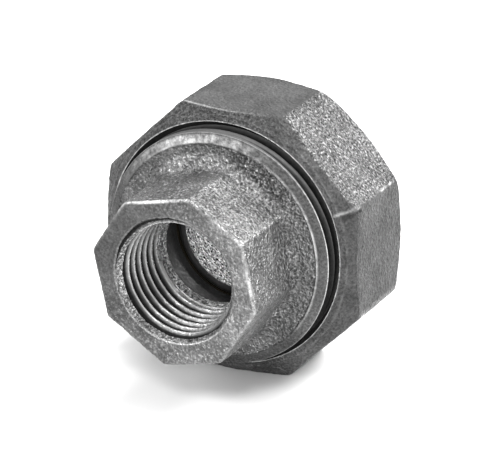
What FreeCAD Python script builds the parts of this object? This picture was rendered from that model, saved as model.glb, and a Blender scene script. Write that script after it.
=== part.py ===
"""Pipe union, 1/2 in class, malleable iron: a threaded head, a swivelling tail, the nut that joins them
and the brass ring that seals them. Millimetres.

The union's axis lies along Y: the head's open end faces -Y and the tail's faces +Y. The nut rests on
one of its eight flats, so +Z is up. The origin is on the axis, halfway along the whole union.

Each piece is turned about the Z axis of its own body, where height zero is the head's open end, and
its Placement lays that axis along Y.
"""
import FreeCAD, Part
import Sketcher
import math
import os

SIZES = {
    "union_length": 47.0,
    # eight-sided wrench hubs of the head and the tail
    "hub_across_flats": 26.7,
    "hub_corner_round": 0.7,
    "hub_end_chamfer": 0.4,
    "hub_root_fillet": 1.0,
    "head_hub_twist": 10.0,
    "flat_on_top_twist": 22.5,
    # right-handed pipe thread inside each hub, 14 threads an inch
    "pipe_mouth_radius": 10.7,
    "pipe_minor_radius": 9.1,
    "pipe_thread_depth": 12.7,
    "pipe_pitch": 1.814,
    "pipe_cutter_depth": 11.9,
    "pipe_cutter_run": 13.6,
    "pipe_cutter_radius": 9.02,
    "pipe_cutter_half_width": 0.443,
    "pipe_root_radius": 9.7,
    "pipe_root_half_width": 0.05,
    # the head's waterway behind its pipe thread
    "stop_radius": 8.6,
    "stop_start": 13.2,
    "stop_end": 14.2,
    "chamber_radius": 11.2,
    "chamber_start": 14.9,
    # the head's threaded collar
    "flange_height": 14.0,
    "flange_radius": 18.06,
    "collar_height": 15.2,
    "collar_radius": 19.5,
    "collar_end_chamfer": 1.2,
    "head_end": 26.0,
    # union thread, right-handed, 12 threads an inch: the collar's groove and the nut's groove
    "union_pitch": 2.117,
    "collar_cutter_start": 16.4,
    "collar_cutter_run": 11.5,
    "collar_cutter_radius": 19.58,
    "collar_cutter_half_width": 0.972,
    "collar_root_radius": 18.2,
    "collar_root_half_width": 0.175,
    "nut_cutter_start": 30.16,
    "nut_cutter_run": 12.0,
    "nut_cutter_radius": 18.42,
    "nut_cutter_half_width": 0.939,
    "nut_root_radius": 19.7,
    "nut_root_half_width": 0.2,
    # brass seat ring, pressed into the head's end
    "ring_start": 22.5,
    "ring_radius": 14.0,
    "ring_bore_radius": 11.1,
    "ring_cone_start": 22.9,
    "ring_end": 25.2,
    "ring_lip_radius": 13.4,
    "ring_lead_in": 0.8,
    # the tail: ball-faced nose, flange behind it, neck through the nut, wrench hub
    "ball_radius": 17.51,
    "ball_centre": 36.6,
    "nose_height": 22.6,
    "tail_flange_front": 27.0,
    "tail_flange_radius": 17.9,
    "tail_flange_chamfer": 0.6,
    "tail_flange_back": 31.97,
    "tail_neck_radius": 16.5,
    "tail_neck_end": 37.6,
    "tail_bore_radius": 9.6,
    "tail_bore_end": 32.6,
    "tail_bore_step": 0.5,
    # the nut
    "nut_across_flats": 45.0,
    "nut_corner_round": 0.8,
    "nut_mouth": 17.64,
    "nut_mouth_radius": 20.3,
    "nut_back": 37.0,
    "nut_back_radius": 21.3,
    "nut_bevel_radius": 26.0,
    "nut_front_bevel_end": 21.66,
    "nut_back_bevel_start": 31.3,
    "nut_entry_depth": 1.0,
    "nut_minor_radius": 18.5,
    "nut_relief_start": 28.8,
    "nut_relief_radius": 19.9,
    "nut_lip": 32.0,
    "nut_lip_radius": 16.8,
    "nut_lip_chamfer": 0.8,
}
SIDES = 8  # the hubs and the nut are octagonal
FULL_TURN = 360  # degrees
NEAR = 0.01  # how close a corner lies to the circle that it should be on
VERTICAL_AXIS = -2  # the sketcher's number for its vertical axis
ORIGIN_POINT = (-1, 1)  # the sketcher's numbers for its origin


def make_sheet(doc):
    """Put every driving dimension in a spreadsheet cell that has its own alias."""
    sheet = doc.addObject("Spreadsheet::Sheet", "Sizes")
    for row, (alias, size) in enumerate(SIZES.items(), 1):
        sheet.set(f"A{row}", alias)
        sheet.set(f"B{row}", str(size))
        sheet.setAlias(f"B{row}", alias)
    doc.recompute()


def total(text):
    """Work out a sum of sheet sizes, such as 'nut_lip - nut_lip_chamfer'."""
    amount, sign = 0.0, 1
    for word in text.split():
        if word in ("+", "-"):
            sign = 1 if word == "+" else -1
        elif word != "0":
            amount += sign * SIZES[word]
    return amount


def formula(text):
    """Write the same sum as an expression that reads the spreadsheet."""
    return " ".join(f"Sizes.{word}" if word in SIZES else word for word in text.split())


def origin_plane(body, role):
    return next(item for item in body.Origin.OriginFeatures if item.Role == role)


def new_body(doc, label):
    """Start a body whose Z axis, the piece's own axis, lies along Y."""
    body = doc.addObject("PartDesign::Body", label)
    body.Label = label
    body.Placement.Rotation = FreeCAD.Rotation(FreeCAD.Vector(1, 0, 0), -90)
    body.setExpression("Placement.Base.y", "-Sizes.union_length / 2")
    return body


def pin_corner(sketch, point, across, up):
    """Hold a corner by its radius and its height; across is None where an arc sets the radius."""
    for kind, text in (("DistanceX", across), ("DistanceY", up)):
        if text == "0" and kind == "DistanceX":
            sketch.addConstraint(Sketcher.Constraint("PointOnObject", *point, VERTICAL_AXIS))
        elif text == "0":
            sketch.addConstraint(Sketcher.Constraint("PointOnObject", *point, ORIGIN_POINT[0]))
        elif text is not None:
            held = Sketcher.Constraint(kind, *ORIGIN_POINT, *point, total(text))
            sketch.setExpression(f"Constraints[{sketch.addConstraint(held)}]", formula(text))


def ball_face_radius(height):
    """Radius at which a plane at this height crosses the tail's ball face."""
    return math.sqrt(SIZES["ball_radius"] ** 2 - (SIZES["ball_centre"] - height) ** 2)


def ball_face_arc(start, stop):
    """Draw the tail's ball face between two points of its outline."""
    centre = FreeCAD.Vector(0, SIZES["ball_centre"], 0)
    circle = Part.Circle(centre, FreeCAD.Vector(0, 0, 1), SIZES["ball_radius"])
    angles = [math.atan2(spot.y - centre.y, spot.x) for spot in (start, stop)]
    return Part.ArcOfCircle(circle, *angles)


def draw_outline(body, name, corners, arc_from=None):
    """Sketch a closed outline through corners given as (radius, height) sums of sheet sizes.

    The side that leaves corner number arc_from is an arc of the tail's ball face.
    """
    sketch = body.newObject("Sketcher::SketchObject", name + "_outline")
    sketch.AttachmentSupport = [(origin_plane(body, "XZ_Plane"), "")]
    sketch.MapMode = "FlatFace"
    spots = []
    for across, up in corners:
        height = total(up)
        radius = ball_face_radius(height) if across is None else total(across)
        spots.append(FreeCAD.Vector(radius, height, 0))
    for side, (spot, next_spot) in enumerate(zip(spots, spots[1:] + spots[:1])):
        arc = side == arc_from
        sketch.addGeometry(ball_face_arc(spot, next_spot) if arc else Part.LineSegment(spot, next_spot))
    for side in range(len(spots)):
        next_side = (side + 1) % len(spots)
        sketch.addConstraint(Sketcher.Constraint("Coincident", side, 2, next_side, 1))
    if arc_from is not None:
        pin_corner(sketch, (arc_from, 3), "0", "ball_centre")
        held = Sketcher.Constraint("Radius", arc_from, SIZES["ball_radius"])
        sketch.setExpression(f"Constraints[{sketch.addConstraint(held)}]", formula("ball_radius"))
    for side, (across, up) in enumerate(corners):
        pin_corner(sketch, (side, 1), across, up)
    return sketch


def add_turned(body, name, corners, arc_from=None):
    """Add the solid that an outline makes when it turns about the axis."""
    feature_from_outline(body, "PartDesign::Revolution", name, corners, arc_from)


def cut_turned(body, name, corners):
    """Cut away what an outline sweeps when it turns about the axis."""
    before = body.Shape.Volume
    feature_from_outline(body, "PartDesign::Groove", name, corners)
    check_cut(body, name, before)


def feature_from_outline(body, kind, name, corners, arc_from=None):
    sketch = draw_outline(body, name, corners, arc_from)
    feature = body.newObject(kind, name)
    feature.Profile = sketch
    feature.ReferenceAxis = (sketch, ["V_Axis"])
    feature.Angle = FULL_TURN
    body.Document.recompute()


def check_cut(body, name, before):
    if not body.Shape.Volume < before:
        raise RuntimeError(f"{name} cut nothing")


def cut_thread(body, name, groove, pitch, start, towards_head):
    """Cut a right-handed helical groove with 60-degree flanks and a flat root.

    groove begins the names of the cutter's sizes in the sheet. The cutter's wide side stands just
    clear of the surface, and its run goes past the end of the piece.
    """
    before = body.Shape.Volume
    top, root = f"{groove}_cutter_radius", f"{groove}_root_radius"
    top_half, root_half = f"{groove}_cutter_half_width", f"{groove}_root_half_width"
    corners = [
        (top, f"{start} - {top_half}"),
        (root, f"{start} - {root_half}"),
        (root, f"{start} + {root_half}"),
        (top, f"{start} + {top_half}"),
    ]
    sketch = draw_outline(body, name, corners)
    helix = body.newObject("PartDesign::SubtractiveHelix", name)
    helix.Profile = sketch
    helix.ReferenceAxis = (sketch, ["V_Axis"])
    helix.Mode = "pitch-height-angle"
    helix.setExpression("Pitch", formula(pitch))
    helix.setExpression("Height", formula(f"{groove}_cutter_run"))
    helix.Reversed = towards_head
    body.Document.recompute()
    check_cut(body, name, before)


def add_octagon(body, name, flats, start, end, twist):
    """Add an eight-sided prism between two heights, turned by the twist angle."""
    prism = body.newObject("PartDesign::AdditivePrism", name)
    prism.AttachmentSupport = [(origin_plane(body, "XY_Plane"), "")]
    prism.MapMode = "FlatFace"
    prism.Polygon = SIDES
    prism.setExpression("Circumradius", f"Sizes.{flats} / 2 / cos(180 / {SIDES})")
    prism.setExpression("Height", formula(f"{end} - {start}"))
    turned = FreeCAD.Rotation(FreeCAD.Vector(0, 0, 1), SIZES[twist])
    prism.AttachmentOffset = FreeCAD.Placement(FreeCAD.Vector(0, 0, total(start)), turned)
    prism.setExpression("AttachmentOffset.Base.z", formula(start))
    prism.setExpression("AttachmentOffset.Rotation.Angle", formula(twist))
    body.Document.recompute()


def octagon_corner_radius(flats):
    return SIZES[flats] / 2 / math.cos(math.pi / SIDES)


def soften(body, kind, name, size, chosen):
    """Fillet or chamfer the straight edges of the body whose two end points pass the test."""
    names = []
    for number, edge in enumerate(body.Tip.Shape.Edges, 1):
        ends = [vertex.Point for vertex in edge.Vertexes]
        if edge.Curve.TypeId == "Part::GeomLine" and chosen(*ends):
            names.append(f"Edge{number}")
    base = body.Tip
    feature = body.newObject(f"PartDesign::{kind}", name)
    feature.Base = (base, names)
    feature.setExpression("Radius" if kind == "Fillet" else "Size", formula(size))
    body.Document.recompute()


def soften_octagon(body, name, flats, corner_round):
    """Round the eight upright corners of an octagonal prism."""
    corner = octagon_corner_radius(flats)

    def upright_corner(low, high):
        reach = math.hypot(low.x, low.y)
        return abs(reach - corner) < NEAR and math.hypot(low.x - high.x, low.y - high.y) < NEAR

    soften(body, "Fillet", name, corner_round, upright_corner)


def soften_hub_root(body, name, face_height):
    """Fillet the lines where a hub's flats meet the round face that they stand on."""

    def on_face(first, second):
        level = SIZES[face_height]
        return abs(first.z - level) < NEAR and abs(second.z - level) < NEAR

    soften(body, "Fillet", name, "hub_root_fillet", on_face)


def soften_hub_end(body, name, end):
    """Chamfer the edges of a hub's open end."""

    def on_end(first, second):
        level = total(end)
        return abs(first.z - level) < NEAR and abs(second.z - level) < NEAR

    soften(body, "Chamfer", name, "hub_end_chamfer", on_end)


def make_head(doc):
    """Wrench hub with a pipe port, a flange and the threaded collar that the nut screws onto."""
    body = new_body(doc, "head_piece")
    add_octagon(body, "hub", "hub_across_flats", "0", "collar_height", "head_hub_twist")
    soften_octagon(body, "hub_corners", "hub_across_flats", "hub_corner_round")
    collar = [
        ("0", "flange_height"),
        ("flange_radius", "flange_height"),
        ("collar_radius", "collar_height"),
        ("collar_radius", "head_end - collar_end_chamfer"),
        ("collar_radius - collar_end_chamfer", "head_end"),
        ("0", "head_end"),
    ]
    add_turned(body, "collar", collar)
    soften_hub_root(body, "hub_root", "flange_height")
    soften_hub_end(body, "hub_end", "0")
    waterway = [
        ("0", "0"),
        ("pipe_mouth_radius", "0"),
        ("pipe_minor_radius", "pipe_mouth_radius - pipe_minor_radius"),
        ("pipe_minor_radius", "pipe_thread_depth"),
        ("stop_radius", "stop_start"),
        ("stop_radius", "stop_end"),
        ("chamber_radius", "chamber_start"),
        ("chamber_radius", "ring_start"),
        ("ring_radius", "ring_start"),
        ("ring_radius", "head_end - ring_lead_in"),
        ("ring_radius + ring_lead_in", "head_end"),
        ("0", "head_end"),
    ]
    cut_turned(body, "waterway", waterway)
    cut_thread(body, "pipe_thread", "pipe", "pipe_pitch", "pipe_cutter_depth", towards_head=True)
    cut_thread(
        body, "union_thread", "collar", "union_pitch", "collar_cutter_start", towards_head=False
    )
    return body


def make_seat_ring(doc):
    """Brass ring with the cone that the tail's ball face seals against."""
    body = new_body(doc, "seat_ring")
    section = [
        ("ring_bore_radius", "ring_start"),
        ("ring_radius", "ring_start"),
        ("ring_radius", "ring_end"),
        ("ring_lip_radius", "ring_end"),
        ("ring_bore_radius", "ring_cone_start"),
    ]
    add_turned(body, "ring", section)
    return body


def make_tail(doc):
    """Ball-faced nose, the flange that the nut pulls on, a round neck and a wrench hub with a port."""
    body = new_body(doc, "tail_piece")
    add_octagon(
        body, "hub", "hub_across_flats", "tail_flange_back", "union_length", "flat_on_top_twist"
    )
    soften_octagon(body, "hub_corners", "hub_across_flats", "hub_corner_round")
    nose_and_flange = [
        ("0", "nose_height"),
        (None, "nose_height"),
        (None, "tail_flange_front"),
        ("tail_flange_radius - tail_flange_chamfer", "tail_flange_front"),
        ("tail_flange_radius", "tail_flange_front + tail_flange_chamfer"),
        ("tail_flange_radius", "tail_flange_back"),
        ("tail_neck_radius", "tail_flange_back"),
        ("tail_neck_radius", "tail_neck_end"),
        ("0", "tail_neck_end"),
    ]
    add_turned(body, "nose_and_flange", nose_and_flange, arc_from=1)
    soften_hub_root(body, "hub_root", "tail_neck_end")
    soften_hub_end(body, "hub_end", "union_length")
    waterway = [
        ("0", "nose_height"),
        ("tail_bore_radius", "nose_height"),
        ("tail_bore_radius", "tail_bore_end"),
        ("pipe_minor_radius", "tail_bore_end + tail_bore_step"),
        ("pipe_minor_radius", "union_length - pipe_mouth_radius + pipe_minor_radius"),
        ("pipe_mouth_radius", "union_length"),
        ("0", "union_length"),
    ]
    cut_turned(body, "waterway", waterway)
    cut_thread(
        body,
        "pipe_thread",
        "pipe",
        "pipe_pitch",
        "union_length - pipe_cutter_depth",
        towards_head=False,
    )
    return body


def make_nut(doc):
    """Octagonal nut, threaded inside, whose lip draws the tail onto the head."""
    body = new_body(doc, "union_nut")
    add_octagon(body, "block", "nut_across_flats", "nut_mouth", "nut_back", "flat_on_top_twist")
    soften_octagon(body, "block_corners", "nut_across_flats", "nut_corner_round")
    front_bevel = [
        ("nut_mouth_radius", "nut_mouth"),
        ("nut_bevel_radius", "nut_mouth"),
        ("nut_bevel_radius", "nut_front_bevel_end"),
    ]
    cut_turned(body, "front_bevel", front_bevel)
    back_bevel = [
        ("nut_back_radius", "nut_back"),
        ("nut_bevel_radius", "nut_back_bevel_start"),
        ("nut_bevel_radius", "nut_back"),
    ]
    cut_turned(body, "back_bevel", back_bevel)
    opening = [
        ("0", "nut_mouth"),
        ("nut_mouth_radius", "nut_mouth"),
        ("nut_mouth_radius", "nut_mouth + nut_entry_depth"),
        ("nut_minor_radius", "nut_mouth + nut_entry_depth + nut_mouth_radius - nut_minor_radius"),
        ("nut_minor_radius", "nut_relief_start"),
        ("nut_relief_radius", "nut_relief_start"),
        ("nut_relief_radius", "nut_lip"),
        ("nut_lip_radius", "nut_lip"),
        ("nut_lip_radius", "nut_back - nut_lip_chamfer"),
        ("nut_lip_radius + nut_lip_chamfer", "nut_back"),
        ("0", "nut_back"),
    ]
    cut_turned(body, "opening", opening)
    cut_thread(body, "union_thread", "nut", "union_pitch", "nut_cutter_start", towards_head=True)
    return body


def check_document(doc):
    """Stop if any object of the document has failed to build."""
    for item in doc.Objects:
        if "Invalid" in item.State or "Error" in item.State:
            raise RuntimeError(f"{item.Name} did not build")


def export(bodies):
    """Write each piece to a STEP file named after it, once all of them are known to be sound."""
    for body in bodies:
        if body.Shape.isNull() or not body.Shape.isValid() or len(body.Shape.Solids) != 1:
            raise RuntimeError(f"{body.Label} is not one sound solid")
    os.makedirs("parts", exist_ok=True)
    for body in bodies:
        body.Shape.exportStep(f"parts/{body.Label}.step")
        print(f"{body.Label}: {body.Shape.Volume:.1f} cubic mm")


def main():
    doc = FreeCAD.newDocument("pipe_union")
    make_sheet(doc)
    bodies = [make_piece(doc) for make_piece in (make_head, make_seat_ring, make_tail, make_nut)]
    doc.recompute()
    check_document(doc)
    export(bodies)


main()
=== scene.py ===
"""How the pipe union looks: a head, a tail and a nut of cast iron about a brass seat ring.

Each piece is one closed skin that runs round the union's axis. Its section is a loop of corners,
whose distances may follow an octagon, and the skin is made of rings of points along that loop.
Threads are cut into the rings and the unevenness of a casting is pressed into them, and each point
carries how worn it is, with painted highlights, how grainy it is and how light it is, with painted
light and shade, which the materials read.

Lengths are in millimetres until a mesh is made. "along" is the distance from the head's open end,
"radius" the distance from the axis, and angles turn anticlockwise from +X, seen from that end.
"""
import math
from typing import NamedTuple

import bpy
import numpy as np
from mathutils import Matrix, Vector


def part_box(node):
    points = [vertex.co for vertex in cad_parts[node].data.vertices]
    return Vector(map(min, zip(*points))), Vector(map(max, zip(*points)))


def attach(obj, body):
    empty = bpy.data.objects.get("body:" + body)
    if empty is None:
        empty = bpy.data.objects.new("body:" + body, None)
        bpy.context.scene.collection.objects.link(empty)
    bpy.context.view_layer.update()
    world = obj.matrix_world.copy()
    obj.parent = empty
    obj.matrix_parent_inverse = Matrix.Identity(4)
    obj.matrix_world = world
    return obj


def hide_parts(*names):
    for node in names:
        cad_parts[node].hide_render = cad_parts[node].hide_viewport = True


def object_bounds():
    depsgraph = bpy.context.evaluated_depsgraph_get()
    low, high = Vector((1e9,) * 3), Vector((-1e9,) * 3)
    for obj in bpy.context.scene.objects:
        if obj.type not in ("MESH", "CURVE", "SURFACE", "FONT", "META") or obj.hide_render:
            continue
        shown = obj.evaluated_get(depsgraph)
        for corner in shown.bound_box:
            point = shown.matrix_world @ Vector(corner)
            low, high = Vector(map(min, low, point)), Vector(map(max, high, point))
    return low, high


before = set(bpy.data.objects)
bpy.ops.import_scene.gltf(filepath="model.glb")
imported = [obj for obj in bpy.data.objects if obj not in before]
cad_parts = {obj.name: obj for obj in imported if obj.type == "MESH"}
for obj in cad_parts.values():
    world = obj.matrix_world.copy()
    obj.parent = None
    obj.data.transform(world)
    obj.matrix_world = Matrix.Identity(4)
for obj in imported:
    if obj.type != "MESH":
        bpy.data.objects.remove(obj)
cad_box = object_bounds()

MM = 0.001  # metres in a millimetre
SIDES = 8  # the hubs and the nut are octagonal

# ---------------------------------------------------------------- sizes from the frame


def along_span(node):
    """Where a CAD node begins and ends along the axis, from the head's open end."""
    low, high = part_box(node)
    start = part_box("head_piece")[0].y
    return (low.y - start) / MM, (high.y - start) / MM


def outer_radius(node):
    """Half the width of a CAD node: its radius, or half its width across flats."""
    low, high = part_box(node)
    return (high.x - low.x) / 2 / MM


HEAD_START_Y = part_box("head_piece")[0].y / MM
HEAD_END = along_span("head_piece")[1]
TAIL_NOSE, TAIL_END = along_span("tail_piece")
NUT_MOUTH, NUT_BACK = along_span("union_nut")
RING_START, RING_END = along_span("seat_ring")
COLLAR_RADIUS = outer_radius("head_piece")
TAIL_FLANGE_RADIUS = outer_radius("tail_piece")
NUT_APOTHEM = outer_radius("union_nut")
RING_RADIUS = outer_radius("seat_ring")

# ---------------------------------------------------------------- sizes that the boxes don't give

# as in the CAD model, or very nearly so for the slopes of the nut's bevels
HUB_APOTHEM = 13.35
HEAD_HUB_TURN = math.radians(12.5)
FLANGE_RADIUS = 18.06
COLLAR_START = 15.2
COLLAR_CHAMFER = 1.2
PORT_MOUTH_RADIUS = 10.7
PORT_CREST_RADIUS = 9.1
PORT_THREAD_END = 12.7
STOP_START = 13.2
STOP_END = 14.2
STOP_RADIUS = 8.6
CHAMBER_START = 14.9
CHAMBER_RADIUS = 11.2
RING_LEAD_IN = 0.8
RING_BORE_RADIUS = 11.1
RING_LIP_RADIUS = 13.4
RING_CONE_START = RING_START + 0.4
NUT_MOUTH_RADIUS = 20.3
NUT_ENTRY = NUT_MOUTH + 1.0
NUT_FRONT_SLOPE = 0.7055
NUT_BACK_RADIUS = 21.3
NUT_BACK_SLOPE = 1.2115
NUT_MINOR_RADIUS = 18.5
NUT_RELIEF_RADIUS = 19.9
NUT_RELIEF_START = 28.8
NUT_LIP = 32.0
NUT_LIP_RADIUS = 16.8
NUT_LIP_CHAMFER = 0.8
BALL_RADIUS = 17.51
BALL_CENTRE = 36.6
TAIL_FLANGE_FRONT = 27.0
TAIL_FLANGE_BACK = 31.97
TAIL_FLANGE_CHAMFER = 0.6
TAIL_NECK_RADIUS = 16.5
TAIL_NECK_END = 37.6
TAIL_BORE_RADIUS = 9.6
TAIL_BORE_END = 32.6
PIPE_PITCH = 1.814
UNION_PITCH = 2.117
COLLAR_THREAD_START = 16.4
COLLAR_GROOVE_ANGLE = 80  # where round the collar its groove begins, in degrees

# for the looks only: the CAD model's flange is flat, its ports are straight and nothing is uneven
FLANGE_ROOT = 13.7
FLANGE_EDGE = 14.2
PORT_EDGE_RADIUS = PORT_MOUTH_RADIUS - 0.2
PORT_FRONT_RADIUS = PORT_CREST_RADIUS + 0.2
PORT_BACK_RADIUS = PORT_CREST_RADIUS - 0.15
PORT_TAPER = 1 / 32  # how much a pipe thread's radius shrinks for each millimetre inwards
COUNTERSINK = 1.2
HUB_SHARPNESS = 70  # the higher, the less rounded the corners of an octagon are
NUT_SHARPNESS = 150

# how far each flat was cast outside the true octagon, from the top flat, anticlockwise
HUB_FLAT_ERRORS = (0.0, 0.45, 0.35, 0.25, 0.8, 0.3, 0.0, 0.0)
NUT_FLAT_ERRORS = (-0.3, -0.6, -0.3, -0.1, 0.0, 0.5, 0.0, -0.1)

# ---------------------------------------------------------------- finishes, threads and corners


class Finish(NamedTuple):
    """A surface: how rough and how light it is, with painted light and shade in some, how far apart
    its rings are, and how lumpy it is.
    """

    grain: float
    tone: float
    step: float
    lumps: float


class Thread(NamedTuple):
    """A right-handed groove whose middle is at "middle" along at angle 0.

    It fades out towards first and last. Its crests lie at crest_radius beside its middle, and taper
    is how much that grows for each millimetre along. Its wear is how worn its crests' rims are and
    how strong a highlight is painted on them.
    """

    pitch: float
    depth: float
    middle: float
    first: float
    last: float
    fade: float
    crest_radius: float
    taper: float = 0.0
    inside: bool = False
    wear_and_highlight: float = 0.5


class Corner(NamedTuple):
    """A corner of a section, rounded to the radius bend, and the finish of the side that leaves it.

    radius, along and wear, which holds painted highlights too, may each be one number or one for each
    angle.
    """

    radius: object
    along: object
    finish: Finish
    bend: float = 0.2
    wear_and_highlight: object = 0.0
    thread: Thread = None


class Ring(NamedTuple):
    """One ring of points round the axis: their radius and along, and their surface."""

    place: np.ndarray
    wear_and_highlight: np.ndarray
    grain: float
    tone: float
    lumps: float
    thread: Thread


class Places(NamedTuple):
    """Where the points of a skin are: one angle for each column, and the rest for each point."""

    angles: np.ndarray
    along: np.ndarray
    radius: np.ndarray
    points: np.ndarray


CAST = Finish(grain=1.0, tone=1.0, step=0.22, lumps=1.0)
NUT_CAST = Finish(grain=1.0, tone=0.78, step=0.22, lumps=1.0)
BACK_CAST = Finish(grain=0.7, tone=0.7, step=0.22, lumps=1.3)
# the nut's front bevel, darkened with painted shade
SHADED_CAST = Finish(grain=0.7, tone=0.46, step=0.25, lumps=1.2)
# rough cast walls inside the ports, lightened with painted light
ROUGH_LIT_CAST = Finish(grain=1.4, tone=3.6, step=0.2, lumps=2.0)
TURNED = Finish(grain=0.75, tone=0.42, step=0.25, lumps=0.4)
CUT = Finish(grain=0.12, tone=1.2, step=0.09, lumps=0.12)
# the countersunk rims of the ports, lightened with painted light
LIT_RIM = Finish(grain=1.0, tone=1.5, step=0.12, lumps=1.0)
# cut threads darkened with painted shade, in the gap and inside the nut
SHADED_CUT = Finish(grain=0.2, tone=0.15, step=0.09, lumps=0.1)
HIDDEN = Finish(grain=0.3, tone=0.6, step=0.8, lumps=0.2)
# surfaces in hollows and gaps inside the union, darkened with painted shade
SHADED_HOLLOW = Finish(grain=0.15, tone=0.4, step=0.5, lumps=0.3)
# the brass ring's bore and cone, darkened with painted shade where they sit in the chamber
SHADED_BRASS = Finish(grain=0.3, tone=0.02, step=0.3, lumps=0.1)
# the tail's raw bore, lightened with painted light
RAW_LIT_BORE = Finish(grain=2.0, tone=4.5, step=0.25, lumps=2.5)

BEFORE_ALL = -9.0  # a thread from here to PAST_ALL runs right through a piece
PAST_ALL = 60.0

COLLAR_THREAD = Thread(
    pitch=UNION_PITCH,
    depth=1.25,
    middle=COLLAR_THREAD_START,
    first=COLLAR_THREAD_START - UNION_PITCH * COLLAR_GROOVE_ANGLE / 360,
    last=PAST_ALL,
    fade=0.35,
    crest_radius=COLLAR_RADIUS,
    wear_and_highlight=0.1,
)
NUT_THREAD = Thread(
    pitch=UNION_PITCH,
    depth=1.2,
    middle=COLLAR_THREAD_START + UNION_PITCH / 2,
    first=BEFORE_ALL,
    last=PAST_ALL,
    fade=1.0,
    crest_radius=NUT_MINOR_RADIUS,
    inside=True,
    wear_and_highlight=0.0,
)


def pipe_thread(mouth, inwards):
    """The thread inside a port, from its mouth to where it dies out; inwards is 1 or -1."""
    # how far it runs before the mouth, how far in it is at angle 0, how far it runs past its end
    run_up, start, run_out = 9.0, 0.9, 0.4
    outside = mouth - inwards * run_up
    end = mouth + inwards * (PORT_THREAD_END + run_out)
    first, last = sorted((outside, end))
    return Thread(
        pitch=PIPE_PITCH,
        depth=1.15,
        middle=mouth + inwards * start,
        first=first,
        last=last,
        fade=2.6,
        crest_radius=PORT_FRONT_RADIUS,
        taper=-inwards * PORT_TAPER,
        inside=True,
        wear_and_highlight=0.8,
    )


# ---------------------------------------------------------------- places on a skin


def octagon(angles, apothem, turn, sharpness, errors=(0.0,) * SIDES):
    """Distance from the axis to the side of a cast octagon, whose corners are slightly rounded.

    errors are how far each flat lies outside the true one, from the flat at turn on.
    """
    normals = turn + np.arange(SIDES) * 2 * math.pi / SIDES
    apothems = apothem + np.array(errors)
    facing = np.clip(np.cos(angles[:, None] - normals[None, :]), 0, None) / apothems
    return np.sum(facing**sharpness, axis=1) ** (-1 / sharpness)


def head_hub(angles):
    """The side of the head's hub, cast a little off centre."""
    turn = math.pi / 2 + HEAD_HUB_TURN
    return octagon(angles, HUB_APOTHEM, turn, HUB_SHARPNESS, HUB_FLAT_ERRORS)


def tail_hub(angles):
    """The side of the tail's hub, which has a flat on top."""
    return octagon(angles, HUB_APOTHEM, math.pi / 2, HUB_SHARPNESS)


def nut_side(angles):
    """The side of the nut, which has a flat on top."""
    return octagon(angles, NUT_APOTHEM, math.pi / 2, NUT_SHARPNESS, NUT_FLAT_ERRORS)


def degrees_from(angles, degrees):
    """How many degrees each angle is away from one, the shorter way round."""
    return np.abs((np.degrees(angles) - degrees + 180) % 360 - 180)


def near_angle(angles, degrees, width):
    """1 at an angle, falling smoothly to 0 at a width in degrees to either side."""
    gap = degrees_from(angles, degrees)
    return 0.5 + 0.5 * np.cos(np.pi * np.clip(gap / width, 0, 1))


def on_flat(angles, degrees):
    """1 across the side of an octagon that faces an angle, falling to 0 about its two corners."""
    half_side, fade = 22.5, 1.5
    return np.clip((half_side - degrees_from(angles, degrees)) / fade + 0.5, 0, 1)


def within(values, low, high, fade):
    """1 between two limits, falling evenly to 0 over the fade outside them."""
    rising = np.clip((values - low) / fade + 1, 0, 1)
    falling = np.clip((high - values) / fade + 1, 0, 1)
    return np.minimum(rising, falling)


def lay_out(radius, along, angles):
    """Points of a skin in the frame, in millimetres."""
    return np.stack([radius * np.cos(angles), along + HEAD_START_Y, radius * np.sin(angles)], axis=2)


def ripples(points, wavelength, seed, waves=20):
    """Smooth random unevenness, mostly between -1 and 1, with lumps about a wavelength across."""
    rng = np.random.default_rng(seed)
    directions = rng.normal(size=(waves, 3))
    directions /= np.linalg.norm(directions, axis=1, keepdims=True)
    reach = 2 * math.pi / wavelength * rng.uniform(0.6, 1.4, size=(waves, 1))
    phases = rng.uniform(0, 2 * math.pi, size=waves)
    total = np.zeros(points.shape[:-1])
    for direction, phase in zip(directions * reach, phases):
        total += np.sin(points @ direction + phase)
    return total / math.sqrt(2 * waves)


# ---------------------------------------------------------------- from sections to skins

LEAST_LENGTH = 1e-6  # these two stand in for nothing, which can't be divided by
LEAST_AREA = 1e-9
MOST_TRIM = 0.42  # the share of a side that the bend at either end may take
LEAST_BEND_ROWS = 5
MOST_MORE_BEND_ROWS = 9


def section_sides(corners, columns):
    """Where the corners of a section are, how long its sides are and which way each one runs."""
    spots = np.zeros((len(corners), columns, 2))
    for number, corner in enumerate(corners):
        spots[number, :, 0] = corner.radius
        spots[number, :, 1] = corner.along
    sides = np.roll(spots, -1, axis=0) - spots
    lengths = np.maximum(np.linalg.norm(sides, axis=2, keepdims=True), LEAST_LENGTH)
    return spots, lengths, sides / lengths


def trims(corners, lengths, headings):
    """How far before and after each corner its bend begins and ends."""
    cosines = np.sum(np.roll(headings, 1, axis=0) * headings, axis=2, keepdims=True)
    bends = np.array([corner.bend for corner in corners])[:, None, None]
    room = MOST_TRIM * np.minimum(np.roll(lengths, 1, axis=0), lengths)
    return np.minimum(bends * np.tan(np.arccos(np.clip(cosines, -1, 1)) / 2), room)


def blend_finish(first, second, share):
    """Grain, tone and lumps part of the way from one finish to another."""
    pairs = ((first.grain, second.grain), (first.tone, second.tone), (first.lumps, second.lumps))
    return [start + (stop - start) * share for start, stop in pairs]


def bend_rings(corner, previous, start, spot, stop, rows):
    """The rings round a corner, on a curve from start to stop that leans towards it, at spot."""
    for share in np.linspace(0, 1, rows):
        place = (1 - share) ** 2 * start + 2 * share * (1 - share) * spot + share**2 * stop
        wear_and_highlight = np.broadcast_to(corner.wear_and_highlight * math.sin(math.pi * share) ** 2, len(spot))
        yield Ring(place, wear_and_highlight, *blend_finish(previous, corner.finish, share), corner.thread)


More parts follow.
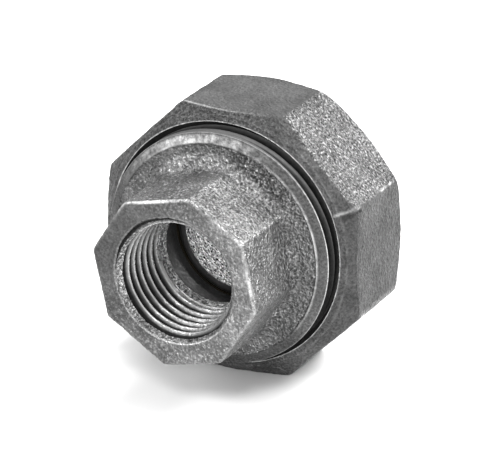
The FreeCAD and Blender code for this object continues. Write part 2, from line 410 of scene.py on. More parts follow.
def side_rings(corner, start, stop):
    """The rings between two bends, evenly spread along the side that leaves a corner."""
    finish = corner.finish
    gap = float(np.max(np.linalg.norm(stop - start, axis=1)))
    between = int(math.ceil(gap / finish.step))
    for share in np.arange(1, between) / between:
        place = start + (stop - start) * share
        unworn = np.zeros(len(start))
        yield Ring(place, unworn, finish.grain, finish.tone, finish.lumps, corner.thread)


def section_rings(corners, columns):
    """The rings of a section, in order round its loop."""
    spots, lengths, headings = section_sides(corners, columns)
    trim = trims(corners, lengths, headings)
    starts = spots - np.roll(headings, 1, axis=0) * trim
    stops = spots + headings * trim
    rings = []
    for number, corner in enumerate(corners):
        previous = corners[number - 1].finish
        more = min(MOST_MORE_BEND_ROWS, int(2 * trim[number].max() / corner.finish.step))
        bend = (starts[number], spots[number], stops[number])
        rings.extend(bend_rings(corner, previous, *bend, LEAST_BEND_ROWS + more))
        rings.extend(side_rings(corner, stops[number], starts[(number + 1) % len(corners)]))
    return rings


def groove_depth(thread, along, angles):
    """Depth of a thread's groove at each point: straight flanks, a narrow root and flat crests."""
    crest, root = 0.94, 0.1
    turn = angles / (2 * math.pi)
    place = (along - thread.middle) / thread.pitch + turn
    number = np.round(place)
    away = 2 * np.abs(place - number)
    middle = thread.middle + thread.pitch * (number - turn)
    starting = np.clip((middle - thread.first) / thread.fade, 0, 1)
    ending = np.clip((thread.last - middle) / thread.fade, 0, 1)
    height = (crest - away) / (crest - root) - 1 + np.minimum(starting, ending)
    return thread.depth * np.clip(height, 0, 1)


def cut_thread(thread, radius, along, angles, wear_and_highlight, tone):
    """Radius, wear and tone of a ring once a thread has been cut into it.

    The rims of its crests are worn and highlighted, and painted shade darkens its groove from a
    quarter of the depth on.
    """
    rim_height, rim_share = 0.2, 0.2
    # how far down the groove its painted shade begins, over what share it grows and how dark it gets
    unshaded_share, shade_share, darkening = 0.25, 0.25, 0.95
    groove = groove_depth(thread, along, angles)
    crest = thread.crest_radius + thread.taper * (along - thread.middle)
    if thread.inside:
        cut = np.where(groove > 0, np.maximum(radius, crest + groove), radius)
    else:
        cut = np.where(groove > 0, np.minimum(radius, crest - groove), radius)
    share = np.clip(groove / thread.depth, 0, 1) * (np.abs(cut - radius) > 0)
    on_crest = np.clip(1 - np.abs(radius - crest) / rim_height, 0, 1)
    rim = np.clip(1 - share / rim_share, 0, 1) * on_crest * thread.wear_and_highlight
    groove_shade = np.clip((share - unshaded_share) / shade_share, 0, 1)
    return cut, np.maximum(wear_and_highlight, rim), tone * (1 - darkening * groove_shade)


# the unevenness of a sand casting, from broad swells to single grains: height, wavelength, waves
CAST_SWELLS = ((0.05, 9.0, 20), (0.03, 2.6, 20), (0.028, 0.95, 30))
CAST_SINK = 0.08  # how far the whole of it is sunk, so that little of it is cut off at the skin


def cast_unevenness(points, seed):
    """Unevenness of a sand casting, never above the true skin."""
    uneven = 0
    for number, (height, wavelength, waves) in enumerate(CAST_SWELLS):
        uneven = uneven + height * ripples(points, wavelength, seed + number, waves)
    return np.minimum(uneven - CAST_SINK, 0)


def outward_of(points):
    """The direction that a skin faces at each of its points."""
    down = np.roll(points, -1, axis=0) - np.roll(points, 1, axis=0)
    around = np.roll(points, -1, axis=1) - np.roll(points, 1, axis=1)
    outward = np.cross(down, around)
    return outward / np.maximum(np.linalg.norm(outward, axis=2, keepdims=True), LEAST_AREA)


def skin(name, corners, columns, body, node, seed, adjust=None):
    """Build one piece from its section, and let it stand for its CAD node."""
    angles = np.arange(columns) * 2 * math.pi / columns
    rings = section_rings(corners(angles), columns)
    spots = np.array([ring.place for ring in rings])
    wear_and_highlight = np.array([ring.wear_and_highlight for ring in rings])
    grain, tone, lumps = (
        np.repeat(np.array([getattr(ring, key) for ring in rings])[:, None], columns, axis=1)
        for key in ("grain", "tone", "lumps")
    )
    radius, along = spots[:, :, 0], spots[:, :, 1]
    for number, ring in enumerate(rings):
        if ring.thread is not None:
            radius[number], wear_and_highlight[number], tone[number] = cut_thread(
                ring.thread, radius[number], along[number], angles, wear_and_highlight[number], tone[number]
            )
    values = {"wear_and_highlight": wear_and_highlight, "grain": grain, "tone": tone, "raised": np.zeros_like(wear_and_highlight)}
    points = lay_out(radius, along, angles)
    if adjust is not None:
        adjust(values, Places(angles[None, :], along, radius, points))
    raised = lumps * cast_unevenness(points, seed) + values["raised"]
    points = points + outward_of(points) * raised[:, :, None]
    return make_piece(name, points * MM, values, body, node)


def make_piece(name, points, values, body, node):
    """Make a mesh object from a grid of points that closes both ways."""
    rows, columns = points.shape[:2]
    index = np.arange(rows * columns).reshape(rows, columns)
    below = np.roll(index, -1, axis=0)
    faces = np.stack([index, below, np.roll(below, -1, axis=1), np.roll(index, -1, axis=1)], axis=2)
    mesh = bpy.data.meshes.new(name)
    mesh.from_pydata(points.reshape(-1, 3).tolist(), [], faces.reshape(-1, 4).tolist())
    mesh.polygons.foreach_set("use_smooth", [True] * len(mesh.polygons))
    for key in ("wear_and_highlight", "grain", "tone"):
        layer = mesh.attributes.new(key, "FLOAT", "POINT")
        layer.data.foreach_set("value", values[key].astype(np.float32).ravel())
    mesh.update()
    piece = bpy.data.objects.new(name, mesh)
    bpy.context.scene.collection.objects.link(piece)
    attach(piece, body)
    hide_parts(node)
    return piece


# ---------------------------------------------------------------- the head

HEAD_FACE_DEPTH = 0.9  # how far along the end face and its bends reach
FLANGE_SPAN = (12.8, 14.6)  # where the flange's face and the hollow at its root lie along
UPPER_RIGHT_FLAT = 57.5  # where the hub's flat at the upper right faces
HUB_PARTING_ANGLES = (35, 215)


def head_corners(angles):
    """Section of the head, from its open end along the outside and back along its waterway."""
    hub = head_hub(angles)
    # The wear of these edges also holds painted highlights where light falls on them: the end face's
    # along its top edge, at its upper right corner and along its right edge, the mouth's at the
    # bottom and the collar's at the right.
    top_edge, top_corner = near_angle(angles, 104, 40), near_angle(angles, 35, 9)
    right_edge = near_angle(angles, 5, 38)
    end_wear_and_highlight = 0.15 + 1.5 * top_edge + 0.6 * top_corner + 0.5 * right_edge
    mouth_wear_and_highlight = 0.15 + 0.6 * near_angle(angles, -75, 75)
    collar_wear_and_highlight = 0.3 + 0.7 * near_angle(angles, 5, 55)
    step = 0.04 + 0.36 * near_angle(angles, -5, 50)
    port_thread = pipe_thread(0.0, 1)
    return [
        Corner(hub, 0.12, CAST, bend=0.75, wear_and_highlight=end_wear_and_highlight),
        Corner(hub, FLANGE_ROOT, CAST, bend=3.0),
        # a casting step near the flange's edge
        Corner(FLANGE_RADIUS - 0.45, FLANGE_EDGE + 0.1, CAST, bend=0.1),
        Corner(FLANGE_RADIUS - 0.2, FLANGE_EDGE + 0.1 - step, TURNED, bend=0.1),
        Corner(FLANGE_RADIUS + 0.05, FLANGE_EDGE + 0.2 - step, TURNED, bend=0.1),
        # the collar and the seat of the ring
        Corner(
            COLLAR_RADIUS, COLLAR_START, SHADED_CUT, bend=0.3, wear_and_highlight=collar_wear_and_highlight, thread=COLLAR_THREAD
        ),
        Corner(COLLAR_RADIUS, HEAD_END - COLLAR_CHAMFER, SHADED_CUT, bend=0.1, thread=COLLAR_THREAD),
        Corner(COLLAR_RADIUS - COLLAR_CHAMFER, HEAD_END, TURNED),
        Corner(RING_RADIUS + RING_LEAD_IN, HEAD_END, HIDDEN),
        Corner(RING_RADIUS, HEAD_END - RING_LEAD_IN, HIDDEN),
        Corner(RING_RADIUS, RING_START, HIDDEN, bend=0.1),
        # the waterway and the port
        Corner(CHAMBER_RADIUS, RING_START, SHADED_HOLLOW, bend=0.3),
        Corner(CHAMBER_RADIUS, CHAMBER_START, SHADED_HOLLOW, bend=0.8),
        # the stop's edge carries a painted highlight as its wear
        Corner(STOP_RADIUS, STOP_END, ROUGH_LIT_CAST, bend=0.3, wear_and_highlight=1.0),
        Corner(STOP_RADIUS, STOP_START, ROUGH_LIT_CAST, bend=0.3),
        Corner(PORT_BACK_RADIUS, PORT_THREAD_END, CUT, bend=0.15, thread=port_thread),
        Corner(PORT_FRONT_RADIUS, COUNTERSINK, LIT_RIM, bend=0.1, thread=port_thread),
        Corner(PORT_EDGE_RADIUS, 0.0, CAST, bend=0.6, wear_and_highlight=mouth_wear_and_highlight),
    ]


def paint_light_on_hub(values, at):
    """Paint light on the end face, lightest at its lower right and darkest at its upper left, and
    paint the flat at the upper right lighter and make it grainier.
    """
    face = (at.along < HEAD_FACE_DEPTH) * (at.radius > PORT_MOUTH_RADIUS - 0.6)
    values["tone"] *= 1 + (0.45 * np.cos(at.angles + 0.5) - 0.16) * face
    values["grain"] *= 1 - 0.4 * face
    hub_and_flange, hub = within(at.radius, 11.5, 17.8, 0.5), within(at.radius, 11.5, 14.6, 0.5)
    behind_face = at.along > HEAD_FACE_DEPTH
    rough_and_highlit_flat = on_flat(at.angles, UPPER_RIGHT_FLAT) * hub_and_flange * behind_face
    # painted light: the flat at the upper right is made lighter where light falls on it
    values["tone"] *= 1 + 0.85 * rough_and_highlit_flat * hub
    values["grain"] *= 1 + 0.3 * rough_and_highlit_flat


def paint_shade_on_flange(values, at):
    """Paint shade on the flange's face at the right and at the top, and smooth it but at the upper
    right.
    """
    flange = within(at.radius, 15.0, 18.0, 0.8) * within(at.along, *FLANGE_SPAN, 0.4)
    right, top = near_angle(at.angles, -5, 70), near_angle(at.angles, 105, 60)
    values["grain"] *= 1 - 0.35 * flange * (1 - near_angle(at.angles, UPPER_RIGHT_FLAT, 40))
    # painted shade on the flange's face at the right and the top
    values["tone"] *= 1 - 0.3 * flange * (right + top)


def paint_light_in_port(values, at):
    """Paint light on the bottom of the port and the left of its countersink, and paint shade on its
    lower left.
    """
    port = (at.radius < PORT_MOUTH_RADIUS - 0.1) * (at.along < PORT_THREAD_END)
    lead = port * (at.along < COUNTERSINK)
    bottom, lower_left = near_angle(at.angles, -76, 46), near_angle(at.angles, -145, 42)
    # painted light and shade inside the port
    values["tone"] *= 1 + 0.6 * bottom * (port - 0.75 * lead)
    values["tone"] *= 1 - 0.75 * lower_left * port * (1 - lead)
    values["tone"] *= 1 + 0.5 * near_angle(at.angles, 195, 70) * lead


def paint_shade_on_collar(values, at):
    """Paint shade on the start of the collar's thread at the lower right, in the gap beside the nut,
    and take its wear and highlights away there.
    """
    # painted shade in the gap between the flange and the nut
    shaded_thread = within(at.along, COLLAR_START + 0.3, 18.2, 0.1) * (at.radius > FLANGE_RADIUS - 1.5)
    lower_right = near_angle(at.angles, -30, 85)
    values["tone"] *= 1 - 0.85 * lower_right * shaded_thread
    values["wear_and_highlight"] *= 1 - lower_right * shaded_thread


def raise_hub_fins(values, at, broken):
    """Raise the head's parting line: a broken fin along two opposite corners of the hub."""
    outside = within(at.along, 0.8, 13.0, 1.0) * (at.radius > PORT_MOUTH_RADIUS + 1)
    for degrees in HUB_PARTING_ANGLES:
        fin = near_angle(at.angles, degrees, 2.2) * outside * broken
        values["raised"] += 0.1 * fin
        values["wear_and_highlight"] = np.maximum(values["wear_and_highlight"], 0.8 * fin)


def streak_root(values, at):
    """Raise streaks in the hollow above the hub, and return a painted highlight along them."""
    scoop = near_angle(at.angles, 99, 34) ** 0.4 * within(at.along, *FLANGE_SPAN, 0.4)
    scoop *= within(at.radius, 14.1, 16.1, 0.4)
    streaks = ripples(at.points * (1.0, 0.3, 1.0), wavelength=0.8, seed=73)
    values["raised"] += 0.1 * scoop * streaks
    # a painted highlight along the streaks at the top
    return scoop * np.clip(0.8 + 0.8 * streaks, 0.1, 1.8)


def dent_end(values, at):
    """Dent the edge of the end face, where its wear breaks off, and return where that edge is."""
    hub = head_hub(at.angles[0])
    corner = np.clip(1 - (hub - at.radius) / 1.8, 0, 1) * (at.along < HEAD_FACE_DEPTH)
    dents = ripples(at.points, wavelength=1.5, seed=75)
    values["wear_and_highlight"] *= 1 - corner * np.clip(-0.9 * dents, -0.1, 0.85)
    values["raised"] -= 0.25 * corner * np.clip(-dents - 0.5, 0, 1)
    return corner


def finish_head(values, at):
    """Give the head its painted light and shade, parting line, streaks, dents and painted highlights.

    Highlights are painted on the flange's edge at the right, the collar's at the top and the end
    face's, and along the streaks above the hub.
    """
    paint_light_on_hub(values, at)
    paint_shade_on_flange(values, at)
    paint_light_in_port(values, at)
    paint_shade_on_collar(values, at)
    broken = np.clip(0.6 + 0.5 * ripples(at.points, wavelength=1.4, seed=71), 0, 1)
    raise_hub_fins(values, at, broken)
    scoop = streak_root(values, at)
    corner = dent_end(values, at)
    front = (at.along < COLLAR_START) * (at.radius > HUB_APOTHEM)
    # masks of painted highlights, which are given as wear
    edge = near_angle(at.angles, 15, 75) * within(at.radius, 17.88, 18.1, 0.06) * front
    ring = near_angle(at.angles, 105, 55) * within(at.radius, 18.1, 19.1, 0.3) * front
    rim = near_angle(at.angles, 12, 38) * corner
    painted_highlight = 0.45 * scoop + 0.6 * edge * (0.2 + broken) + 0.7 * ring * (0.2 + broken) + 0.15 * rim
    values["wear_and_highlight"] = np.maximum(values["wear_and_highlight"], painted_highlight)


# ---------------------------------------------------------------- the tail

BALL_CORNERS = 9


def tail_corners(angles):
    """Section of the tail, from its nose along the outside and back along its bore."""
    hub = tail_hub(angles)
    face = [
        Corner(math.sqrt(BALL_RADIUS**2 - (BALL_CENTRE - along) ** 2), along, SHADED_HOLLOW)
        for along in np.linspace(TAIL_NOSE, TAIL_FLANGE_FRONT, BALL_CORNERS)
    ]
    port_thread = pipe_thread(TAIL_END, -1)
    return [
        *face,
        Corner(TAIL_FLANGE_RADIUS - TAIL_FLANGE_CHAMFER, TAIL_FLANGE_FRONT, TURNED),
        Corner(TAIL_FLANGE_RADIUS, TAIL_FLANGE_FRONT + TAIL_FLANGE_CHAMFER, TURNED),
        Corner(TAIL_FLANGE_RADIUS, TAIL_FLANGE_BACK, TURNED),
        Corner(TAIL_NECK_RADIUS, TAIL_FLANGE_BACK, BACK_CAST, bend=0.1),
        Corner(TAIL_NECK_RADIUS, TAIL_NECK_END, BACK_CAST, bend=0.5, wear_and_highlight=0.4),
        Corner(hub, TAIL_NECK_END + 0.3, BACK_CAST, bend=1.0),
        Corner(hub, TAIL_END - 0.25, BACK_CAST, bend=0.9, wear_and_highlight=0.7),
        Corner(PORT_EDGE_RADIUS, TAIL_END, LIT_RIM, bend=0.6, wear_and_highlight=0.15, thread=port_thread),
        Corner(PORT_FRONT_RADIUS, TAIL_END - COUNTERSINK, CUT, bend=0.1, thread=port_thread),
        Corner(PORT_BACK_RADIUS, TAIL_END - PORT_THREAD_END, ROUGH_LIT_CAST, bend=0.15),
        Corner(TAIL_BORE_RADIUS, TAIL_BORE_END, RAW_LIT_BORE, bend=0.5),
        Corner(TAIL_BORE_RADIUS, TAIL_NOSE, SHADED_HOLLOW, bend=0.2, wear_and_highlight=0.3),
    ]


# ---------------------------------------------------------------- the nut

NUT_FRONT_DEPTH = NUT_MOUTH + 3  # how far along the front bevel reaches
NUT_FIN_SPAN = (27.5, 33.0)  # where the fins on the nut's corners lie along
NUT_PARTING_ANGLES = (22.5, 202.5)
NUT_SHADED_FLATS = (90, 0, 45)  # where the top flat, the right one and the one between them face


def nut_corners(angles):
    """Section of the nut, from its mouth along the outside and back along its thread."""
    side = nut_side(angles)
    mouth = NUT_MOUTH_RADIUS - 0.3 * near_angle(angles, -10, 90)
    front_slope = NUT_FRONT_SLOPE * (1 - 0.4 * near_angle(angles, 28, 22))
    front = NUT_MOUTH + (side - NUT_MOUTH_RADIUS) * front_slope
    # the bevel's front edge carries a painted highlight at the upper left, given as wear
    front_wear_and_highlight = 0.4 * near_angle(angles, 108, 45)
    back_slope = NUT_BACK_SLOPE * (1 - 0.6 * near_angle(angles, -5, 50))
    back = NUT_BACK - (side - NUT_BACK_RADIUS) * back_slope
    thread_start = NUT_ENTRY + NUT_MOUTH_RADIUS - NUT_MINOR_RADIUS
    return [
        Corner(mouth, NUT_MOUTH, SHADED_CAST, bend=0.4, wear_and_highlight=1.0),
        Corner(side, front, NUT_CAST, bend=0.7, wear_and_highlight=front_wear_and_highlight),
        Corner(side, back, BACK_CAST, bend=1.2, wear_and_highlight=0.4),
        Corner(NUT_BACK_RADIUS, NUT_BACK, BACK_CAST, bend=0.8, wear_and_highlight=0.4),
        Corner(NUT_LIP_RADIUS + NUT_LIP_CHAMFER, NUT_BACK, TURNED, bend=0.3, wear_and_highlight=0.3),
        Corner(NUT_LIP_RADIUS, NUT_BACK - NUT_LIP_CHAMFER, TURNED),
        Corner(NUT_LIP_RADIUS, NUT_LIP, HIDDEN, bend=0.1),
        Corner(NUT_RELIEF_RADIUS, NUT_LIP, HIDDEN, bend=0.1),
        Corner(NUT_RELIEF_RADIUS, NUT_RELIEF_START, HIDDEN, bend=0.1),
        Corner(NUT_MINOR_RADIUS, NUT_RELIEF_START, SHADED_CUT, bend=0.1, thread=NUT_THREAD),
        Corner(NUT_MINOR_RADIUS, thread_start, SHADED_CUT, bend=0.1, thread=NUT_THREAD),
        Corner(NUT_MOUTH_RADIUS, NUT_ENTRY, SHADED_HOLLOW, bend=0.1),
    ]


def paint_light_on_nut_flats(values, at, outside):
    """Smooth the nut's top and right flats and paint shade on them, and roughen the one between them
    and paint it lighter.
    """
    fade = 0.15  # the depth over which the mask of a flat dies out, just below it
    flats = np.clip((at.radius - nut_side(at.angles[0])) / fade + 1.5, 0, 1) * outside
    top, right, between = (flats * on_flat(at.angles, degrees) for degrees in NUT_SHADED_FLATS)
    values["grain"] *= 1 - 0.6 * top - 0.3 * right + 0.5 * between
    # painted shade on the top and right flats, painted light on the one between
    values["tone"] *= 1 - 0.5 * top - 0.52 * right + 0.3 * between


def ridge_bevel(values, at, outside, broken):
    """Raise a faint ridge round the nut's front bevel, set the bevel's grain, and paint shade on it
    at the right.
    """
    ridge_height, ridge_width = 0.18, 0.18
    front = at.along < NUT_FRONT_DEPTH
    bevel = outside * front
    waver = 0.12 * ripples(at.points, wavelength=6.0, seed=74)
    ridge_radius = NUT_MOUTH_RADIUS + 0.95 + waver
    ridge = np.exp(-(((at.radius - ridge_radius) / ridge_width) ** 2)) * front
    values["raised"] += ridge_height * ridge
    values["grain"] *= 1 + 0.6 * near_angle(at.angles, 110, 70) * bevel
    # painted shade on the bevel at the right
    values["tone"] *= 1 - 0.25 * near_angle(at.angles, -10, 60) * bevel
    values["wear_and_highlight"] = np.maximum(values["wear_and_highlight"], 0.1 * ridge * broken)


def raise_nut_fins(values, at, outside, broken):
    """Raise the nut's parting line: a fin and a notch on the bevel, with painted shade in the notch,
    and a fin along the corner.
    """
    front = outside * within(at.along, 0, NUT_FRONT_DEPTH, 0.4)
    behind = outside * within(at.along, *NUT_FIN_SPAN, 0.4)
    for degrees in NUT_PARTING_ANGLES:
        bevel = near_angle(at.angles, degrees, 1.3) * front * (0.3 + 0.7 * broken)
        notch = near_angle(at.angles, degrees - 2.2, 1.6) * front * (at.along > NUT_MOUTH + 0.7)
        corner = near_angle(at.angles, degrees, 1.0) * broken * behind
        values["raised"] += 0.2 * bevel + 0.14 * corner - 0.3 * notch
        values["wear_and_highlight"] = np.maximum(values["wear_and_highlight"], 0.35 * bevel + 0.8 * corner)
        # painted shade in the notch
        values["tone"] *= 1 - 0.4 * notch


def finish_nut(values, at):
    """Give the nut its flats with painted light and shade, the ridge on its bevel and its parting
    line.
    """
    outside = at.radius > NUT_MOUTH_RADIUS + 0.1
    broken = np.clip(0.6 + 0.6 * ripples(at.points, wavelength=1.6, seed=72), 0, 1)
    paint_light_on_nut_flats(values, at, outside)
    ridge_bevel(values, at, outside, broken)
    raise_nut_fins(values, at, outside, broken)


# ---------------------------------------------------------------- the seat ring


def ring_corners(angles):
    """Section of the brass seat ring, whose cone faces the tail. It is round at every angle."""
    return [
        Corner(RING_BORE_RADIUS, RING_START, SHADED_BRASS, bend=0.1),
        Corner(RING_RADIUS, RING_START, TURNED, bend=0.1),
        Corner(RING_RADIUS, RING_END, TURNED, bend=0.1),
        Corner(RING_LIP_RADIUS, RING_END, TURNED, bend=0.1),
        Corner(RING_BORE_RADIUS, RING_CONE_START, SHADED_BRASS, bend=0.1),
    ]


# ---------------------------------------------------------------- materials


def add_node(tree, kind, **settings):
    """Add a shader node and set its properties and, by name, its inputs."""
    node = tree.nodes.new(kind)
    for key, value in settings.items():
        if hasattr(node, key):
            setattr(node, key, value)
        else:
            node.inputs[key.replace("_", " ").title()].default_value = value
    return node


def feed(tree, socket, value):
    """Set an input to a plain number, or link it to another node's output."""
    if isinstance(value, bpy.types.NodeSocket):
        tree.links.new(value, socket)
    else:
        socket.default_value = value


def combine(tree, operation, *values):
    """A math node fed by sockets or plain numbers."""
    node = add_node(tree, "ShaderNodeMath", operation=operation)
    for socket, value in zip(node.inputs, values):
        feed(tree, socket, value)
    return node.outputs[0]


def spread(tree, value, source, target):
    """Map a range of values onto another, clamped at both ends."""
    node = add_node(tree, "ShaderNodeMapRange")
    feed(tree, node.inputs["Value"], value)
    for key, number in zip(("From Min", "From Max", "To Min", "To Max"), (*source, *target)):
        node.inputs[key].default_value = number
    return node.outputs["Result"]


def noise(tree, place, size, detail, roughness):
    """Noise whose lumps are about size millimetres across."""
    node = add_node(
        tree, "ShaderNodeTexNoise", scale=1 / (size * MM), detail=detail, roughness=roughness
    )
    feed(tree, node.inputs["Vector"], place)
    return node.outputs["Fac"]


def attribute(tree, name):
    """A value that each point of a skin carries: wear, grain or tone."""
    return add_node(tree, "ShaderNodeAttribute", attribute_name=name).outputs["Fac"]


def skin_light(tree, place, speck, grain, tone, body_light):
    """How light the unworn skin is: its tone, with any painted light and shade, speckled as far as it
    is grainy, with broad stains.
    """
    speckle = spread(tree, speck, (0.35, 0.67), (0.5, 1.55))
    speckle = combine(tree, "MULTIPLY_ADD", combine(tree, "SUBTRACT", speckle, 1.0), grain, 1.0)
    blotch = noise(tree, place, size=5.0, detail=4.0, roughness=0.55)
    stain = spread(tree, blotch, (0.35, 0.65), (0.7, 1.3))
    light = combine(tree, "MULTIPLY", combine(tree, "MULTIPLY", speckle, stain), tone)
    return combine(tree, "MULTIPLY", light, body_light)


def worn_and_highlit_share(tree, place, speck, grain, tone):
    """How worn the metal is, with painted highlights: its wear, broken up where it is grainy, and the
    tips of light grains.
    """
    patch = noise(tree, place, size=0.8, detail=3.0, roughness=0.6)
    patches = spread(tree, patch, (0.4, 0.55), (0.75, 0.0))
    broken = combine(tree, "SUBTRACT", 1.0, combine(tree, "MULTIPLY", patches, grain))
    worn_and_highlit = combine(tree, "MULTIPLY", attribute(tree, "wear_and_highlight"), broken)
    tips = combine(tree, "MULTIPLY", spread(tree, speck, (0.58, 0.68), (0.0, 0.3)), grain)
    tips = combine(tree, "MULTIPLY", tips, spread(tree, tone, (0.4, 0.9), (0.0, 1.0)))
    worn_and_highlit = combine(tree, "MAXIMUM", worn_and_highlit, tips)
    return combine(tree, "MINIMUM", combine(tree, "MAXIMUM", worn_and_highlit, 0.0), 1.0)


def tinted(tree, light, worn_and_highlit, worn_and_highlit_light, tint):
    """A tint as light as the unworn skin, and as light as the bare metal where it is worn and where a
    highlight is painted.
    """
    lit = add_node(tree, "ShaderNodeMix", data_type="FLOAT")
    for number, value in ((0, worn_and_highlit), (2, light), (3, worn_and_highlit_light)):
        feed(tree, lit.inputs[number], value)
    colour = add_node(tree, "ShaderNodeMix", data_type="RGBA", blend_type="MULTIPLY")
    for number, value in ((0, 1.0), (6, (*tint, 1.0)), (7, lit.outputs[0])):
        feed(tree, colour.inputs[number], value)
    return colour.outputs[2]


def metal(name, tint, body_light, worn_and_highlit_light, metallic, roughness, grain_height):
    """Grainy metal: speckled, blotched with oxide, brighter and smoother where it is worn and where
    highlights are painted.

    The darkest tones, most of them painted shade in gaps and hollows, are dull and hide the metal.
    """
    material = bpy.data.materials.new(name)
    material.use_nodes = True
    tree = material.node_tree
    shader = tree.nodes["Principled BSDF"]
    place = add_node(tree, "ShaderNodeTexCoord").outputs["Object"]
    grit = noise(tree, place, size=0.65, detail=1.5, roughness=0.5)
    speck = noise(tree, place, size=0.38, detail=1.5, roughness=0.5)
    grain, tone = attribute(tree, "grain"), attribute(tree, "tone")

    light = skin_light(tree, place, speck, grain, tone, body_light)
    worn_and_highlit = worn_and_highlit_share(tree, place, speck, grain, tone)
    feed(tree, shader.inputs["Base Color"], tinted(tree, light, worn_and_highlit, worn_and_highlit_light, tint))

    gloss = spread(tree, grit, (0.4, 0.65), (roughness + 0.08, roughness - 0.1))
    gloss = combine(tree, "SUBTRACT", gloss, combine(tree, "MULTIPLY", worn_and_highlit, 0.15))
    dullness = spread(tree, tone, (0.2, 0.7), (0.4, 0.0))
    feed(tree, shader.inputs["Roughness"], combine(tree, "ADD", gloss, dullness))
    # painted shade is made less metallic, the darker the less
    metal_share = spread(tree, tone, (0.2, 0.7), (0.0, 1.0))
    feed(tree, shader.inputs["Metallic"], combine(tree, "MULTIPLY", metal_share, metallic))
    feed(tree, shader.inputs["Specular IOR Level"], spread(tree, tone, (0.1, 0.5), (0.15, 0.5)))

    height = combine(tree, "ADD", grit, combine(tree, "MULTIPLY", speck, 0.7))
    bump = add_node(tree, "ShaderNodeBump", distance=grain_height * MM)
    feed(tree, bump.inputs["Height"], height)
    feed(tree, bump.inputs["Strength"], grain)
    feed(tree, shader.inputs["Normal"], bump.outputs["Normal"])
    return material


# ---------------------------------------------------------------- stage, light and camera

FLOOR_WIDTH = 4.0  # metres
FLOOR_GREY = 0.78
WORLD_STRENGTH = 0.75
LAMP_DISTANCE = 0.6  # metres
LAMP_WIDTH = 0.15  # metres


class Lamp(NamedTuple):
    """A softbox: the direction that it stands in, seen from the object, and its power in watts."""

    direction: tuple
    power: float


LAMPS = {
    "behind_right": Lamp((0.42, 0.6, 0.6), 5.0),
    "low_behind_right": Lamp((0.374, 0.829, 0.416), 2.4),
    "upper_right": Lamp((0.62, 0.2, 0.74), 1.2),
    "overhead": Lamp((-0.1, 0.1, 0.98), 2.1),
    "above_front": Lamp((0.1, -0.7, 0.7), 1.6),
    "front_left": Lamp((-0.5, -0.64, 0.58), 1.2),
    "front": Lamp((0.42, -0.85, 0.33), 1.5),
    "right": Lamp((0.85, -0.52, 0.05), 0.5),
}


def make_floor():
    """A pale floor that the nut's lowest flat rests on."""
    bpy.ops.mesh.primitive_plane_add(size=FLOOR_WIDTH, location=(0, 0, cad_box[0].z))
    floor = bpy.context.object
    floor.name = "floor"
    material = bpy.data.materials.new("pale_floor")
    material.use_nodes = True
    shader = material.node_tree.nodes["Principled BSDF"]
    shader.inputs["Base Color"].default_value = (FLOOR_GREY, FLOOR_GREY, FLOOR_GREY, 1.0)
    shader.inputs["Roughness"].default_value = 0.9
    shader.inputs["Specular IOR Level"].default_value = 0.0
    floor.data.materials.append(material)


def add_softbox(name, lamp):
    """A square area light that faces the object."""
    light = bpy.data.lights.new(name, "AREA")
    light.shape = "RECTANGLE"
    light.size, light.size_y = LAMP_WIDTH, LAMP_WIDTH
    light.energy = lamp.power
    softbox = bpy.data.objects.new(name, light)
    away = Vector(lamp.direction).normalized()
    softbox.location = away * LAMP_DISTANCE
    softbox.rotation_euler = away.to_track_quat("Z", "Y").to_euler()
    bpy.context.scene.collection.objects.link(softbox)


def light_scene():
    """White surroundings, and a softbox for each lamp."""
    world = bpy.data.worlds.new("studio")
    bpy.context.scene.world = world
    world.use_nodes = True
    background = world.node_tree.nodes["Background"]
    background.inputs["Color"].default_value = (1.0, 1.0, 1.0, 1.0)
    background.inputs["Strength"].default_value = WORLD_STRENGTH
    for name, lamp in LAMPS.items():
        add_softbox(name, lamp)


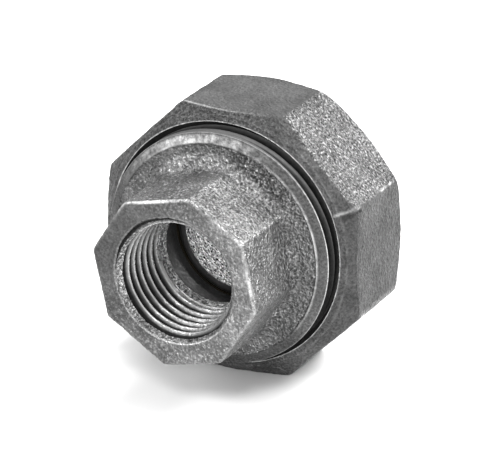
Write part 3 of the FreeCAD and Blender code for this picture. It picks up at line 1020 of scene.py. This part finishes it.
# the camera and its view: distances in millimetres
CAMERA_AZIMUTH = math.radians(26.68)
CAMERA_ELEVATION = math.radians(21.98)
CAMERA_DISTANCE = 603.5
PORT_LEFT_OF_VIEW = 11.93
PORT_BELOW_VIEW = 8.80
CAMERA_LENS = 279.1
SENSOR_WIDTH = 36.0


def place_camera():
    """A long lens, above and to the right of the head's port."""
    sin_a, cos_a = math.sin(CAMERA_AZIMUTH), math.cos(CAMERA_AZIMUTH)
    sin_e, cos_e = math.sin(CAMERA_ELEVATION), math.cos(CAMERA_ELEVATION)
    forward = Vector((-sin_a * cos_e, cos_a * cos_e, -sin_e))
    right = Vector((cos_a, sin_a, 0.0))
    up = right.cross(forward)
    port = Vector((0.0, HEAD_START_Y, 0.0))
    spot = port + right * PORT_LEFT_OF_VIEW + up * PORT_BELOW_VIEW - forward * CAMERA_DISTANCE
    data = bpy.data.cameras.new("camera")
    data.lens, data.sensor_width = CAMERA_LENS, SENSOR_WIDTH
    camera = bpy.data.objects.new("camera", data)
    camera.location = spot * MM
    camera.rotation_euler = forward.to_track_quat("-Z", "Y").to_euler()
    bpy.context.scene.collection.objects.link(camera)
    bpy.context.scene.camera = camera


# ---------------------------------------------------------------- the scene

head = skin(
    "head",
    head_corners,
    columns=720,
    body="head",
    node="head_piece",
    seed=11,
    adjust=finish_head,
)
tail = skin(
    "tail",
    tail_corners,
    columns=540,
    body="tail",
    node="tail_piece",
    seed=23,
)
nut = skin(
    "nut",
    nut_corners,
    columns=720,
    body="nut",
    node="union_nut",
    seed=37,
    adjust=finish_nut,
)
ring = skin(
    "ring",
    ring_corners,
    columns=240,
    body="head",
    node="seat_ring",
    seed=51,
)

iron = metal(
    "cast_iron",
    tint=(1.0, 1.0, 1.0),
    body_light=0.12,
    worn_and_highlit_light=0.6,
    metallic=0.7,
    roughness=0.38,
    grain_height=0.9,
)
brass = metal(
    "brass",
    tint=(1.0, 0.78, 0.4),
    body_light=0.6,
    worn_and_highlit_light=0.75,
    metallic=1.0,
    roughness=0.35,
    grain_height=0.02,
)
for piece in (head, tail, nut):
    piece.data.materials.append(iron)
ring.data.materials.append(brass)

make_floor()
light_scene()
place_camera()
bpy.context.scene.view_settings.view_transform = "Standard"
